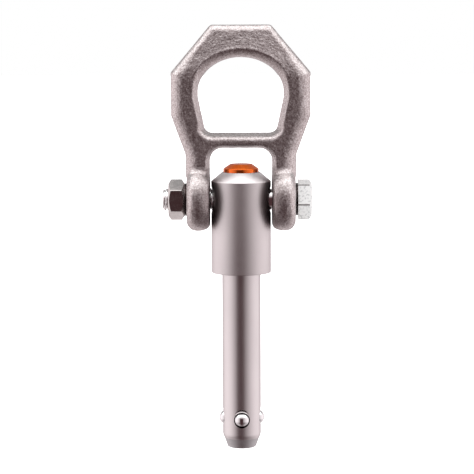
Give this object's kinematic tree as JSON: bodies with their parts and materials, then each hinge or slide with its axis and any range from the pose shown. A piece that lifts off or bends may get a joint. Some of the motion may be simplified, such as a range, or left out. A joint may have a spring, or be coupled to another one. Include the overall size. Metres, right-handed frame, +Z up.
{
  "type": "ball lock hitch pin with shackle",
  "caption": "Quick-release pin with spring-held locking balls near its tip, a push button in its head and a swinging forged shackle on a cross bolt.",
  "frame": {"origin": "inner crown of the shackle's eye, at mid-thickness, where a hook or lanyard carries the pin", "axes": "+Z up along the hanging pin, +X along the shackle's bolt from the nut to the bolt head, -Y the front"},
  "size_m": [0.0774, 0.0328, 0.2208],
  "materials": {
    "cast_steel": "matt, fine cast grain",
    "zinc_plate": "bright zinc plate",
    "nut_steel": "semi-bright",
    "turned_steel": "fine turned, satin",
    "orange_anodised": "glossy anodised",
    "spindle_steel": "ground",
    "spring_wire": "drawn wire",
    "ball_steel": "polished"
  },
  "bodies": {
    "shackle": {"shackle": "cast_steel", "shackle_bolt": "zinc_plate", "lock_nut": "nut_steel"},
    "pin": {"pin_body": "turned_steel", "return_spring": "spring_wire"},
    "release": {"push_button": "orange_anodised", "release_spindle": "spindle_steel"},
    "ball_front": {"lock_ball_front": "ball_steel"},
    "ball_right": {"lock_ball_right": "ball_steel"},
    "ball_back": {"lock_ball_back": "ball_steel"},
    "ball_left": {"lock_ball_left": "ball_steel"}
  },
  "joints": [
    {"name": "shackle_swing", "type": "hinge", "parent": "shackle", "child": "pin", "pos_m": [0, 0, -0.0736], "axis": [1, 0, 0], "range_deg": [-130, 130]},
    {"name": "button_press", "type": "slide", "parent": "pin", "child": "release", "axis": [0, 0, -1], "range_m": [0, 0.004], "stiffness_N_per_m": 2500, "springref_m": -0.004, "deforming": ["return_spring"]},
    {"name": "ball_front_slide", "type": "slide", "parent": "pin", "child": "ball_front", "axis": [0, 1, 0], "range_m": [0, 0.0019]},
    {"name": "ball_right_slide", "type": "slide", "parent": "pin", "child": "ball_right", "axis": [-1, 0, 0], "range_m": [0, 0.0019]},
    {"name": "ball_back_slide", "type": "slide", "parent": "pin", "child": "ball_back", "axis": [0, -1, 0], "range_m": [0, 0.0019]},
    {"name": "ball_left_slide", "type": "slide", "parent": "pin", "child": "ball_left", "axis": [1, 0, 0], "range_m": [0, 0.0019]}
  ],
  "couplings": [
    {"joint": "ball_front_slide", "follows": "button_press", "ratio": 0.475},
    {"joint": "ball_right_slide", "follows": "button_press", "ratio": 0.475},
    {"joint": "ball_back_slide", "follows": "button_press", "ratio": 0.475},
    {"joint": "ball_left_slide", "follows": "button_press", "ratio": 0.475}
  ]
}
